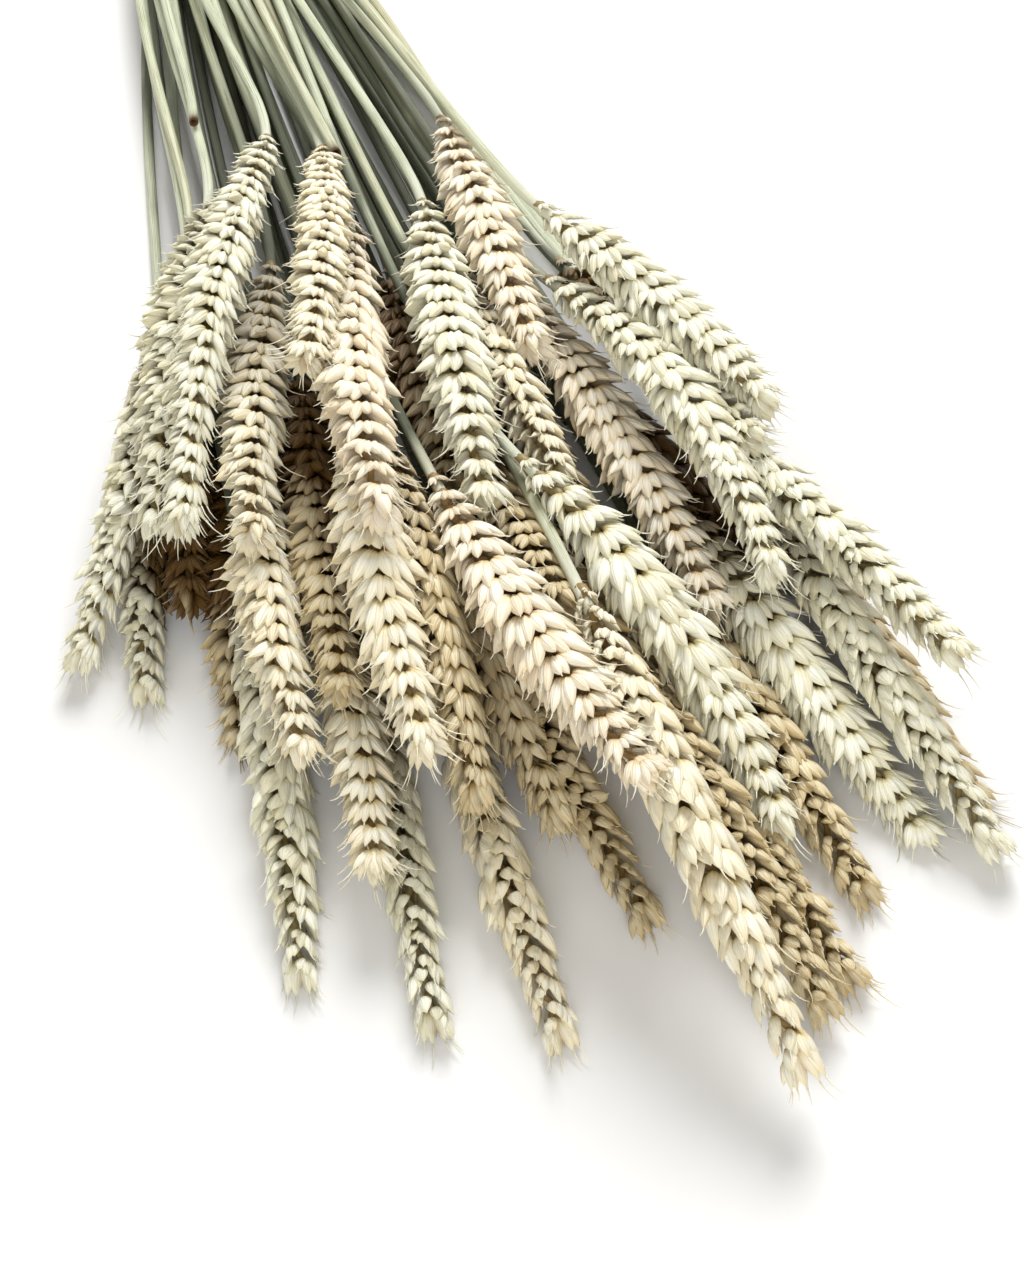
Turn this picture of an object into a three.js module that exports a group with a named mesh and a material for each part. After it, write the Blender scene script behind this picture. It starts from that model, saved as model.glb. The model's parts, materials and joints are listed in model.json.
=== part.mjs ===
// A bundle of dried wheat lying on a table, tied with raffia near the cut ends of its stems.
// Millimetres and degrees, +Z up. The cut ends point to +Y and the ears fan out to -Y.
// The stalks are laid one by one: each is a springy rod that settles on the stalks beneath it.
import * as THREE from 'three';

// ---- Sizes ---------------------------------------------------------------------------------------

const stemDiameter = 3.0;      // at the cut end
const neckDiameter = 2.4;      // where the stem becomes the ear
const stemReach = 335;         // from the tie to the neck of the longest stalk
const tailLength = 118;        // from the tie to the cut ends
const tailUnevenness = 0.06;   // how much shorter than that the shortest tail is cut
const tailSplay = 0.3;         // how much wider than the tie the cut ends spread
const earLength = 86;
const earWidth = 11.2;
const earNod = 14;             // how far an unsupported ear hangs over from neck to tip
const fanAngle = 14;           // from the middle of the fan to its side
const waist = 1.25;            // how much more steeply the stems leave the tie than they reach the neck
const turnLength = 16;         // over which a stem turns outward in front of the tie
const leaveShare = 0.4;        // of the way to the neck, over which a stem keeps the way it left the tie
const arriveShare = 0.2;       // of the same way, over which it turns into the line of its ear
const tieWidth = 12;
const tieThickness = 1.5;
const stalkGap = 0.45;         // left between stalks that lie on each other
const tableGap = 0.05;         // left between a stalk and the table
const tieGap = 0.35;           // left between the raffia and the stems in it
const sides = 7;               // of a stalk's cross-section

// ---- The stalks, in the order they are laid ------------------------------------------------------

// Each layer crosses the tie as one row of stems, side by side.
// side: place in the fan, from -1 at the left to 1 at the right
// reach: how far out the neck lies, as a share of the longest
// lean: how much the ear turns away from the line of its stem, in degrees
// bend: how much the ear curves along its length, in degrees
// ear: its length as a share of earLength, and 0 for a stem that has lost its ear
const layers = [
  [
    { side: -0.93, reach: 0.68, lean: 1, bend: 8, ear: 0.98 },
    { side: -0.57, reach: 0.72, lean: -5, bend: 8, ear: 1.0 },
    { side: 0.04, reach: 0.91, lean: 6, bend: 10, ear: 0.94 },
    { side: 0.38, reach: 0.98, lean: 4, bend: 8, ear: 0.96 },
    { side: 0.98, reach: 0.92, lean: -7, bend: 4, ear: 0.94 },
    { side: 0.31, reach: 0.99, lean: 3, bend: 6, ear: 0.98 },
    { side: -0.22, reach: 0.71, lean: 0, bend: 0, ear: 0 },
    { side: 0.62, reach: 0.76, lean: 0, bend: 0, ear: 0 },
  ],
  [
    { side: -0.75, reach: 0.63, lean: -2, bend: 4, ear: 0.95 },
    { side: -0.61, reach: 0.88, lean: 2, bend: -6, ear: 1.02 },
    { side: -0.29, reach: 0.93, lean: -3, bend: 6, ear: 1.0 },
    { side: -0.13, reach: 0.95, lean: 1, bend: 4, ear: 1.0 },
    { side: 0.57, reach: 0.93, lean: -1, bend: 2, ear: 0.98 },
    { side: 0.71, reach: 0.72, lean: 9, bend: 10, ear: 0.9 },
    { side: 0.25, reach: 0.88, lean: 0, bend: 8, ear: 0.95 },
    { side: 0.06, reach: 0.73, lean: 0, bend: 0, ear: 0 },
    { side: -0.45, reach: 0.68, lean: 0, bend: 0, ear: 0 },
  ],
  [
    { side: -0.14, reach: 0.76, lean: -1, bend: 4, ear: 0.95 },
    { side: 0.36, reach: 0.7, lean: 2, bend: -6, ear: 0.95 },
    { side: -0.4, reach: 0.85, lean: 0, bend: -8, ear: 0.98 },
    { side: -0.09, reach: 0.84, lean: 7, bend: 14, ear: 0.95 },
    { side: 0.17, reach: 0.74, lean: 0, bend: 5, ear: 0.93 },
    { side: 0.88, reach: 0.93, lean: -3, bend: 10, ear: 1.02 },
    { side: 0.68, reach: 0.91, lean: 4, bend: 12, ear: 0.98 },
    { side: -0.79, reach: 0.615, lean: -13, bend: -10, ear: 1.18 },
    { side: 0.5, reach: 0.73, lean: 0, bend: 0, ear: 0 },
    { side: -0.27, reach: 0.7, lean: 0, bend: 0, ear: 0 },
  ],
  [
    { side: -0.34, reach: 0.7, lean: -3, bend: 2, ear: 1.16 },
    { side: -0.14, reach: 0.84, lean: -1, bend: 1, ear: 0.92 },
    { side: -0.53, reach: 0.79, lean: 1, bend: 16, ear: 0.93 },
    { side: 0.43, reach: 0.655, lean: -4, bend: 10, ear: 0.82 },
    { side: 0.2, reach: 1.0, lean: 3, bend: 12, ear: 1.08 },
    { side: 0.9, reach: 0.86, lean: 3, bend: 12, ear: 0.93 },
    { side: 0.92, reach: 0.67, lean: -2, bend: -2, ear: 0.92 },
    { side: -0.66, reach: 0.575, lean: -9, bend: 4, ear: 1.08 },
    { side: -0.75, reach: 0.55, lean: 0, bend: 0, ear: 0 },
    { side: 0.27, reach: 0.71, lean: 0, bend: 0, ear: 0 },
    { side: -0.08, reach: 0.72, lean: 0, bend: 0, ear: 0 },
  ],
  [
    { side: 0.17, reach: 0.625, lean: -6, bend: 8, ear: 0.88 },
    { side: 0.26, reach: 0.88, lean: 11, bend: -16, ear: 1.02 },
    { side: -0.03, reach: 0.885, lean: 11, bend: 14, ear: 0.96 },
    { side: -0.22, reach: 0.82, lean: -2, bend: 16, ear: 0.94 },
    { side: -0.39, reach: 0.605, lean: -8, bend: 9, ear: 1.12 },
    { side: 0.66, reach: 0.685, lean: -4, bend: -2, ear: 1.16 },
    { side: 0.71, reach: 0.72, lean: 0, bend: -20, ear: 1.08 },
    { side: -0.7, reach: 0.44, lean: 0, bend: 0, ear: 0 },
  ],
  [
    { side: 0, reach: 0.615, lean: -10, bend: 14, ear: 1.25 },
    { side: 0.4, reach: 0.6, lean: -14, bend: 4, ear: 1.17 },
    { side: 0.78, reach: 0.52, lean: -13, bend: 4, ear: 0.94 },
    { side: 0.83, reach: 0.67, lean: 8, bend: -5, ear: 0.86 },
    { side: 0, reach: 0.54, lean: -15, bend: -8, ear: 1.05 },
    { side: -0.31, reach: 0.515, lean: -16, bend: 6, ear: 1.4 },
    { side: 0.07, reach: 0.54, lean: 0, bend: 0, ear: 0 },
  ],
];

// ---- The line of each stalk, seen from above -----------------------------------------------------

const radians = THREE.MathUtils.degToRad;
const stemRadius = stemDiameter / 2;
const stemPitch = stemDiameter + stalkGap;
const rowPitch = stemPitch * Math.cos(radians(30));
const gripHalf = tieWidth / 2 + 2;    // the stems run straight through the tie and just past it

function heading(angle) {
  return new THREE.Vector3(Math.sin(angle), -Math.cos(angle), 0);
}

// Straight through the tie, turning outward in front of it, on to the neck and along the ear.
function stalkLine(stalk, acrossTie, tail) {
  const bearing = radians(stalk.side * fanAngle);
  const lean = radians(stalk.lean);
  const halfBend = radians(stalk.bend) / 2;
  const cutEnd = new THREE.Vector3(acrossTie * (1 + tailSplay), tail, 0);
  const tieBack = new THREE.Vector3(acrossTie, gripHalf, 0);
  const tieFront = new THREE.Vector3(acrossTie, -gripHalf, 0);
  const outward = heading(bearing * waist);
  const turn = tieFront.clone().addScaledVector(heading(0), turnLength / 2);
  const turned = turn.clone().addScaledVector(outward, turnLength / 2);
  const neck = heading(bearing).multiplyScalar(stalk.reach * stemReach);
  const atNeck = heading(bearing + lean - halfBend);
  const atTip = heading(bearing + lean + halfBend);
  const run = turned.distanceTo(neck);
  const line = new THREE.CurvePath();
  line.add(new THREE.QuadraticBezierCurve3(
    cutEnd, new THREE.Vector3(acrossTie, tail / 2, 0), tieBack));
  line.add(new THREE.LineCurve3(tieBack, tieFront));
  line.add(new THREE.QuadraticBezierCurve3(tieFront, turn, turned));
  line.add(new THREE.CubicBezierCurve3(
    turned,
    turned.clone().addScaledVector(outward, run * leaveShare),
    neck.clone().addScaledVector(atNeck, -run * arriveShare),
    neck));
  if (stalk.ear > 0) {
    const half = stalk.ear * earLength / 2;
    const middle = neck.clone().addScaledVector(atNeck, half);
    const tip = middle.clone().addScaledVector(atTip, half);
    line.add(new THREE.QuadraticBezierCurve3(neck, middle, tip));
  }
  return line;
}

// ---- How thick a stalk is along its length -------------------------------------------------------

const earShoulder = 0.75;      // under 1, the ear is thickest nearer its neck than its tip
const earFullness = 0.7;       // under 1, it keeps its thickness longer than a sine curve does

function stalkRadius(distance, neckDistance, length) {
  if (distance <= neckDistance) {
    return THREE.MathUtils.lerp(stemDiameter, neckDiameter, distance / neckDistance) / 2;
  }
  const along = (distance - neckDistance) / (length - neckDistance);
  const swell = Math.max(0, Math.sin(Math.PI * Math.pow(along, earShoulder)));
  return THREE.MathUtils.lerp(neckDiameter, earWidth, Math.pow(swell, earFullness)) / 2;
}

// ---- Laying the stalks down ----------------------------------------------------------------------

const stepLength = 2;          // between the points at which a stalk's height is worked out
const earLimpness = 4e-6;      // weight over stiffness
const stemLimpness = 4e-7;
const contact = 0.05;          // stiffness of what a stalk rests on, and of the raffia's grip
const tether = 1e-12;          // too weak to matter, it keeps the sums solvable
const mostRounds = 120;
const stride = 0.6;            // how far each round moves towards the balance it finds
const settled = 1e-4;          // the move at which the rounds stop

// The least height at which a stalk clears the table and every stalk under it.
function heightsBelow(stalk, laid) {
  return stalk.points.map((point, index) => {
    const radius = stalk.radii[index];
    let height = radius + tableGap;
    for (const other of laid) {
      if (!other.box.containsPoint(point)) continue;
      for (let k = 0; k < other.points.length; k += 1) {
        const under = other.points[k];
        const apart = radius + other.radii[k] + stalkGap;
        const across = Math.hypot(point.x - under.x, point.y - under.y);
        if (across < apart) {
          height = Math.max(height, under.z + Math.sqrt(apart * apart - across * across));
        }
      }
    }
    return height;
  });
}

// Solves a symmetric system whose rows hold five terms: main, beside and beyond the diagonal.
function solveBand(main, beside, beyond, right) {
  const end = main.length + 2;
  const pivot = new Float64Array(end);
  const near = new Float64Array(end);
  const far = new Float64Array(end);
  const answer = new Float64Array(end);
  // Two empty places come first, so that the first rows need no special case.
  for (let i = 2; i < end; i += 1) {
    const row = i - 2;
    pivot[i] = main[row] - pivot[i - 1] * near[i - 1] ** 2 - pivot[i - 2] * far[i - 2] ** 2;
    near[i] = (beside[row] - pivot[i - 1] * near[i - 1] * far[i - 1]) / pivot[i];
    far[i] = beyond[row] / pivot[i];
    answer[i] = right[row] - near[i - 1] * answer[i - 1] - far[i - 2] * answer[i - 2];
  }
  for (let i = end - 1; i > 1; i -= 1) {
    const after = i + 1 < end ? answer[i + 1] : 0;
    const afterNext = i + 2 < end ? answer[i + 2] : 0;
    answer[i] = answer[i] / pivot[i] - near[i] * after - far[i] * afterNext;
  }
  return answer.slice(2);
}

// The shape of least bending and weight that lies on what is below it.
function settle(stalk, below, tieHeight) {
  const n = stalk.points.length;
  const step = stalk.step;
  const stiffness = 1 / step ** 3;
  const nod = -radians(earNod) / earLength;
  const z = Float64Array.from(below);
  for (let round = 0; round < mostRounds; round += 1) {
    const main = new Float64Array(n).fill(tether);
    const beside = new Float64Array(n);
    const beyond = new Float64Array(n);
    const right = new Float64Array(n);
    for (let k = 1; k < n - 1; k += 1) {
      const rest = stalk.inEar[k] ? nod * step * step * stiffness : 0;
      main[k - 1] += stiffness;
      main[k] += 4 * stiffness;
      main[k + 1] += stiffness;
      beside[k - 1] -= 2 * stiffness;
      beside[k] -= 2 * stiffness;
      beyond[k - 1] += stiffness;
      right[k - 1] += rest;
      right[k] -= 2 * rest;
      right[k + 1] += rest;
    }
    for (let k = 0; k < n; k += 1) {
      right[k] -= (stalk.inEar[k] ? earLimpness : stemLimpness) * step;
      if (z[k] < below[k]) {
        main[k] += contact;
        right[k] += contact * below[k];
      }
      if (Math.abs(stalk.points[k].y) <= gripHalf) {
        main[k] += contact;
        right[k] += contact * tieHeight;
      }
    }
    const next = solveBand(main, beside, beyond, right);
    let moved = 0;
    for (let k = 0; k < n; k += 1) {
      const change = (next[k] - z[k]) * stride;
      z[k] += change;
      moved = Math.max(moved, Math.abs(change));
    }
    if (moved < settled) break;
  }
  return z;
}

function layStalk(stalk, acrossTie, tieHeight, tail, laid) {
  const line = stalkLine(stalk, acrossTie, tail);
  const length = line.getLength();
  const neckDistance = stalk.ear > 0 ? line.getCurveLengths().at(-2) : length;
  const steps = Math.round(length / stepLength);
  const placed = { points: line.getSpacedPoints(steps), step: length / steps };
  placed.distances = placed.points.map((point, k) => Math.min(length, k * placed.step));
  placed.radii = placed.distances.map((distance) => stalkRadius(distance, neckDistance, length));
  placed.inEar = placed.distances.map((distance) => distance > neckDistance);
  const heights = settle(placed, heightsBelow(placed, laid), tieHeight);
  placed.points.forEach((point, k) => { point.z = heights[k]; });
  placed.box = new THREE.Box3().setFromPoints(placed.points).expandByScalar(earWidth + stalkGap);
  placed.box.min.z = -Infinity;
  placed.box.max.z = Infinity;
  return placed;
}

// ---- The solid of one stalk ----------------------------------------------------------------------

const straightness = 0.15;     // how far a straight run may leave the settled line
const roundness = 0.375;       // how far it may leave the ear's outline

// The points that a chain of straight runs needs to follow the line.
function neededRings(stalk, first, last) {
  const run = new THREE.Line3(stalk.points[first], stalk.points[last]);
  const nearest = new THREE.Vector3();
  let worst = 0;
  let at = first;
  for (let k = first + 1; k < last; k += 1) {
    run.closestPointToPoint(stalk.points[k], true, nearest);
    const share = (k - first) / (last - first);
    const straightRadius = THREE.MathUtils.lerp(stalk.radii[first], stalk.radii[last], share);
    const off = Math.max(
      nearest.distanceTo(stalk.points[k]) / straightness,
      Math.abs(stalk.radii[k] - straightRadius) / roundness);
    if (off > worst) {
      worst = off;
      at = k;
    }
  }
  if (worst < 1) return [last];
  return [...neededRings(stalk, first, at), ...neededRings(stalk, at, last)];
}

// A turned solid, as long as the stalk and as thick, whose vertices are then moved onto its line.
function stalkSolid(stalk) {
  const end = stalk.points.length - 1;
  const rings = [0, ...neededRings(stalk, 0, end)];
  const profile = rings.map((k) => new THREE.Vector2(stalk.radii[k], k));
  profile.unshift(new THREE.Vector2(0, 0));
  profile.push(new THREE.Vector2(0, end));
  const solid = new THREE.LatheGeometry(profile, sides);
  const vertices = solid.attributes.position;
  const tangent = new THREE.Vector3();
  const across = new THREE.Vector3();
  const upward = new THREE.Vector3();
  const place = new THREE.Vector3();
  for (let i = 0; i < vertices.count; i += 1) {
    const k = Math.round(vertices.getY(i));
    tangent.subVectors(stalk.points[Math.min(end, k + 1)], stalk.points[Math.max(0, k - 1)]).normalize();
    across.set(tangent.y, -tangent.x, 0).normalize();
    upward.crossVectors(across, tangent);
    place.copy(stalk.points[k]);
    place.addScaledVector(across, vertices.getX(i));
    place.addScaledVector(upward, vertices.getZ(i));
    vertices.setXYZ(i, place.x, place.y, place.z);
  }
  solid.computeVertexNormals();
  return solid;
}

// ---- The raffia tie ------------------------------------------------------------------------------

const tieFacets = 36;

// The corners of a loop drawn tight around the stems, a given distance off them.
function tightLoop(centres, distance) {
  const reach = (angle) => Math.max(...centres.map(
    (centre) => centre.x * Math.cos(angle) + centre.z * Math.sin(angle))) + stemRadius + distance;
  const facet = 2 * Math.PI / tieFacets;
  const corners = [];
  for (let k = 0; k < tieFacets; k += 1) {
    const a = k * facet;
    const b = a + facet;
    const along = (reach(b) - reach(a) * Math.cos(facet)) / Math.sin(facet);
    corners.push(new THREE.Vector2(
      reach(a) * Math.cos(a) - along * Math.sin(a),
      reach(a) * Math.sin(a) + along * Math.cos(a)));
  }
  return corners;
}

function raffiaTie(laid) {
  const centres = laid.flatMap((stalk) => stalk.points.filter((point) => Math.abs(point.y) <= gripHalf));
  const shape = new THREE.Shape(tightLoop(centres, tieGap + tieThickness));
  shape.holes.push(new THREE.Path(tightLoop(centres, tieGap)));
  const band = new THREE.ExtrudeGeometry(shape, { depth: tieWidth, bevelEnabled: false });
  band.rotateX(Math.PI / 2);
  band.translate(0, tieWidth / 2, 0);
  return band;
}

// ---- Putting the bundle together -----------------------------------------------------------------

const straw = new THREE.MeshStandardMaterial({ color: 0xd9cfae, roughness: 0.7, metalness: 0 });
const raffia = new THREE.MeshStandardMaterial({ color: 0xc2a36b, roughness: 0.8, metalness: 0 });
const goldenShare = 0.618;     // spreads the uneven tails without a pattern
const bundle = new THREE.Group();
const laid = [];

layers.forEach((layer, row) => {
  const tieHeight = tieThickness + tieGap + stemRadius + row * rowPitch;
  const leftToRight = [...layer].sort((one, other) => one.side - other.side);
  layer.forEach((stalk) => {
    const place = leftToRight.indexOf(stalk) - (layer.length - 1) / 2;
    const tail = tailLength * (1 - tailUnevenness * ((laid.length * goldenShare) % 1));
    laid.push(layStalk(stalk, place * stemPitch, tieHeight, tail, laid));
    const number = String(laid.length).padStart(2, '0');
    const mesh = new THREE.Mesh(stalkSolid(laid.at(-1)), straw);
    mesh.name = stalk.ear > 0 ? `wheat_stalk_${number}` : `bare_stem_${number}`;
    bundle.add(mesh);
  });
});

const tieMesh = new THREE.Mesh(raffiaTie(laid), raffia);
tieMesh.name = 'raffia_tie';
bundle.add(tieMesh);

// The middle of the bundle's underside is the origin.
const box = new THREE.Box3().setFromObject(bundle, true);
const middle = box.getCenter(new THREE.Vector3());
bundle.position.set(-middle.x, -middle.y, -box.min.z);

export default bundle;
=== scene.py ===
import json
import math
import bpy
import numpy as np
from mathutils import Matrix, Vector


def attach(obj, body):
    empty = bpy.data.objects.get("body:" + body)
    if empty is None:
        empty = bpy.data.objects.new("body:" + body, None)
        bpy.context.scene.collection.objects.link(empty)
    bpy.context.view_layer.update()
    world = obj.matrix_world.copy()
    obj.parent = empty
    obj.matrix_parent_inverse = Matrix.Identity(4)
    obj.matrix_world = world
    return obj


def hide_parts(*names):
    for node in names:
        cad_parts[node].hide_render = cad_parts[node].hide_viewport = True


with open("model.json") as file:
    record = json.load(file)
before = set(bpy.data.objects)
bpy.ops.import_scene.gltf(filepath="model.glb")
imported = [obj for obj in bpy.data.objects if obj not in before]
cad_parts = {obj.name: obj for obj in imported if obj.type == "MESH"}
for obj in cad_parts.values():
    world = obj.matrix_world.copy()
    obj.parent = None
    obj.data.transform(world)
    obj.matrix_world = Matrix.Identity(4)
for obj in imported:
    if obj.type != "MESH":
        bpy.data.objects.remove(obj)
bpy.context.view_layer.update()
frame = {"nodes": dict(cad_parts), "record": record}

# ---------------------------------------------------------------------------------------------
# Straw stems. Each is one hollow wheat culm, cut by hand and dried to a ribbed grey-green tube,
# part of it wrapped in its dry leaf sheath, with a brown joint where a leaf grew. The stems lie
# loose on each other, and only the raffia holds them.
# ---------------------------------------------------------------------------------------------
STEM_STEP = 2.5            # mm between the rings of a stem's skin
STEM_SIDES = 14
STALK_SIDES = 7            # of a stalk's solid, on which a stem and its ear are drawn
OUT_OF_ROUND = 0.035       # how much a dried straw is pressed oval, as a share of its width
SHEATH_STEP = 0.1          # mm: the dry leaf sheath stands this far out from the straw
SHEATH_ENDS = (0.45, 0.7)  # where along the stem, as a share of its length
TORN_EDGE = 1.5            # mm, over which the sheath thins out
STRAW_WALL = 0.42          # mm, seen at the cut end
HOLLOW_DEPTH = 7.0         # mm, how far the hollow of a cut end is made
CUT_BROWNED = 2.2          # mm, how far up the cut has turned brown
BREAK_BROWNED = 3.5        # mm, the same where a stem has lost its ear
JOINT_LENGTH = 3.2         # mm, a culm's brown joint
JOINT_SWELL = 0.28         # mm
JOINT_ODDS = 0.75          # three stems in four show a joint
JOINT_PLACES = (0.10, 0.42)    # where along the stem, as for the sheath
PALE_NECK = 30.0           # mm below the ear, over which the stem turns pale
ABOVE_TABLE = 0.04         # mm
EAR_STARTS = 1.62          # mm: a stalk thicker than this, half across, is ear and no longer stem

# A map of the pile's top, its middle at the bundle's middle, tells what lies deep in the pile. Stems
# and husks are painted darker there: painted shade for what lies under other stalks.
PILE_SQUARE = 3.0          # mm
PILE_SIZE = (90, 210)      # squares
PILE_MIDDLE = (45, 105)
HUSKS_STAND_OUT = 2.5      # mm past the half width of a stalk's solid
OPEN_FRONT = -205          # mm: from here to the ears' tips the pile is open in front
OPEN_FRONT_FADE = 60       # mm
STEMS_SUNK = (4.8, 5.5)    # mm under the top where shade starts, and how much deeper it is full

SAGE = (0.60, 0.64, 0.46)
SAGE_DARK = (0.10, 0.125, 0.06)
SAGE_PALE = (0.67, 0.70, 0.54)
STRAW_PALE = (0.78, 0.79, 0.67)
STRAW_YELLOW = (0.55, 0.50, 0.28)
STRAW_BROWNED = (0.25, 0.19, 0.07)
JOINT_BROWN = (0.115, 0.058, 0.022)
# The colour straw is darkened toward, as painted shade, where it lies deep in the pile.
STRAW_PILE_SHADE = (0.035, 0.045, 0.018)


def unit(v):
    return v / np.maximum(np.linalg.norm(v, axis=-1, keepdims=True), 1e-9)


def stalk_rings(name):
    """The middles of one stalk's rings and their half widths, in mm, from the cut end to the tip."""
    mesh = frame["nodes"][name].data
    corners = np.empty(len(mesh.vertices) * 3, np.float32)
    mesh.vertices.foreach_get("co", corners)
    ends = np.empty(len(mesh.edges) * 2, np.int32)
    mesh.edges.foreach_get("vertices", ends)
    corners = np.round(corners.reshape(-1, 3) * 1000, 4)
    places, which = np.unique(corners, axis=0, return_inverse=True)
    which = which.reshape(-1)
    beside = [set() for _ in places]
    for a, b in which[ends.reshape(-1, 2)]:
        if a != b:
            beside[a].add(b)
            beside[b].add(a)
    caps = [i for i, near in enumerate(beside) if len(near) == STALK_SIDES]
    ring = {max(caps, key=lambda i: places[i][1])}
    seen = set(ring)
    middles = []
    widths = []
    while True:
        ring = {j for i in ring for j in beside[i]} - seen
        if len(ring) < STALK_SIDES:
            break
        seen |= ring
        around = places[sorted(ring)]
        middles.append(around.mean(axis=0))
        widths.append(np.linalg.norm(around - middles[-1], axis=1).mean())
    return np.array(middles), np.array(widths)


def even_line(points, step):
    """Columns of numbers along a line, the first three its place, smoothed and spaced evenly."""
    run = np.concatenate([[0], np.cumsum(np.linalg.norm(np.diff(points[:, :3], axis=0), axis=1))])
    gaps = np.diff(run)[:, None]
    slopes = np.diff(points, axis=0) / gaps
    tangents = np.vstack([slopes[:1], np.zeros_like(slopes[1:]), slopes[-1:]])
    same_way = slopes[:-1] * slopes[1:] > 0
    blend_a = 2 * gaps[1:] + gaps[:-1]
    blend_b = gaps[1:] + 2 * gaps[:-1]
    with np.errstate(divide="ignore", invalid="ignore"):
        mean = (blend_a + blend_b) / (blend_a / slopes[:-1] + blend_b / slopes[1:])
    tangents[1:-1] = np.where(same_way, mean, 0)
    at = np.linspace(0, run[-1], max(2, int(round(run[-1] / step)) + 1))
    k = np.clip(np.searchsorted(run, at, side="right") - 1, 0, len(gaps) - 1)
    t = ((at - run[k]) / gaps[k, 0])[:, None]
    h = gaps[k]
    return at, ((2 * t**3 - 3 * t**2 + 1) * points[k]
                + (t**3 - 2 * t**2 + t) * h * tangents[k]
                + (3 * t**2 - 2 * t**3) * points[k + 1]
                + (t**3 - t**2) * h * tangents[k + 1])


def pile_heights(stalks):
    """The height of the pile's top in each square of its map, a little smoothed."""
    top = np.zeros(PILE_SIZE)
    for middles, half in stalks:
        line = even_line(np.column_stack([middles, half]), PILE_SQUARE / 2)[1]
        reach = line[:, 3] + HUSKS_STAND_OUT
        back_height = line[:, 2] + line[:, 3] * 0.8
        for a in np.arange(-2, 3) * 0.5:
            for b in np.arange(-2, 3) * 0.5:
                i = np.round((line[:, 0] + a * reach) / PILE_SQUARE + PILE_MIDDLE[0]).astype(int)
                j = np.round((line[:, 1] + b * reach) / PILE_SQUARE + PILE_MIDDLE[1]).astype(int)
                np.maximum.at(top, (i, j), back_height)
    wide, long = PILE_SIZE
    padded = np.pad(top, 1, mode="edge")
    return sum(padded[a:a + wide, b:b + long] for a in range(3) for b in range(3)) / 9


def sunk_in_pile(points, margin, span):
    """How far points lie under the pile's top: 0 down to the margin, 1 a span below it, in mm.

    It counts less toward the ears' tips, where the pile is open in front. The result sets how much
    painted shade those points get."""
    at = points[..., :2] / PILE_SQUARE + PILE_MIDDLE
    low = np.floor(at).astype(int)
    f = at - low
    i = np.clip(low[..., 0], 0, PILE_SIZE[0] - 2)
    j = np.clip(low[..., 1], 0, PILE_SIZE[1] - 2)
    top = ((pile[i, j] * (1 - f[..., 0]) + pile[i + 1, j] * f[..., 0]) * (1 - f[..., 1])
           + (pile[i, j + 1] * (1 - f[..., 0]) + pile[i + 1, j + 1] * f[..., 0]) * f[..., 1])
    open_front = np.clip((points[..., 1] - OPEN_FRONT) / OPEN_FRONT_FADE, 0.05, 1)
    return np.clip((top - points[..., 2] - margin) / span, 0, 1) * open_front


def carried_frames(line):
    """Along a line: its heading, and an upward and a sideways direction square to it."""
    heading = unit(np.gradient(line, axis=0))
    up = unit(np.array([0.0, 0.0, 1.0]) - heading * heading[:, 2:3])
    return heading, up, np.cross(heading, up)


def skin_faces(rings, sides):
    """Faces of a skin over rings, closed by a point at each end, and where their corners lie on it."""
    faces = []
    spots = []
    last = 1 + rings * sides
    for j in range(sides):
        faces.append((0, 1 + (j + 1) % sides, 1 + j))
        spots.append(((0, j + 0.5), (1, j + 1), (1, j)))
    for k in range(rings - 1):
        low = 1 + k * sides
        for j in range(sides):
            n = (j + 1) % sides
            faces.append((low + j, low + n, low + sides + n, low + sides + j))
            spots.append(((k + 1, j), (k + 1, j + 1), (k + 2, j + 1), (k + 2, j)))
    low = 1 + (rings - 1) * sides
    for j in range(sides):
        faces.append((low + j, low + (j + 1) % sides, last))
        spots.append(((rings, j), (rings, j + 1), (rings + 1, j + 0.5)))
    scale = np.array([rings + 1, sides])
    return faces, [np.array(s) / scale for s in spots]


class Skins:
    """Gathers closed skins for one piece, then makes that piece."""

    def __init__(self):
        self.corners = []
        self.faces = []
        self.spots = []
        self.marks = {}
        self.count = 0

    def add(self, rings, first, last, **marks):
        """Rings are skins x rings x sides x 3, in mm. Marks are skins x corners: first, rings, last."""
        many, deep, sides = rings.shape[:3]
        skin = rings.reshape(many, deep * sides, 3)
        flat = np.concatenate([first[:, None], skin, last[:, None]], axis=1)
        faces, spots = skin_faces(deep, sides)
        each = flat.shape[1]
        for m in range(many):
            low = self.count + m * each
            self.faces.extend(tuple(low + i for i in face) for face in faces)
            self.spots.append(spots)
        for mark, values in marks.items():
            self.marks.setdefault(mark, []).append(np.broadcast_to(values, (many, each)).reshape(-1))
        self.corners.append(flat.reshape(-1, 3))
        self.count += many * each

    def piece(self, name, material, slot, *nodes):
        corners = np.concatenate(self.corners)
        mesh = bpy.data.meshes.new(name)
        mesh.from_pydata((corners / 1000).tolist(), [], self.faces)
        mesh.shade_smooth()
        for mark, values in self.marks.items():
            kept = mesh.attributes.new(mark, "FLOAT", "POINT")
            kept.data.foreach_set("value", np.concatenate(values).astype(np.float32))
        across = math.ceil(math.sqrt(len(self.spots)))
        chart = mesh.uv_layers.new(name="OFBake")
        flat = []
        for m, spots in enumerate(self.spots):
            cell = np.array([m % across, m // across])
            flat.extend((cell + 0.05 + 0.9 * s) / across for s in spots)
        chart.data.foreach_set("uv", np.concatenate(flat).astype(np.float32).reshape(-1))
        made = bpy.data.objects.new(name, mesh)
        bpy.context.scene.collection.objects.link(made)
        mesh.materials.append(material)
        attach(made, "root")
        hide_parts(*nodes)


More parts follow.
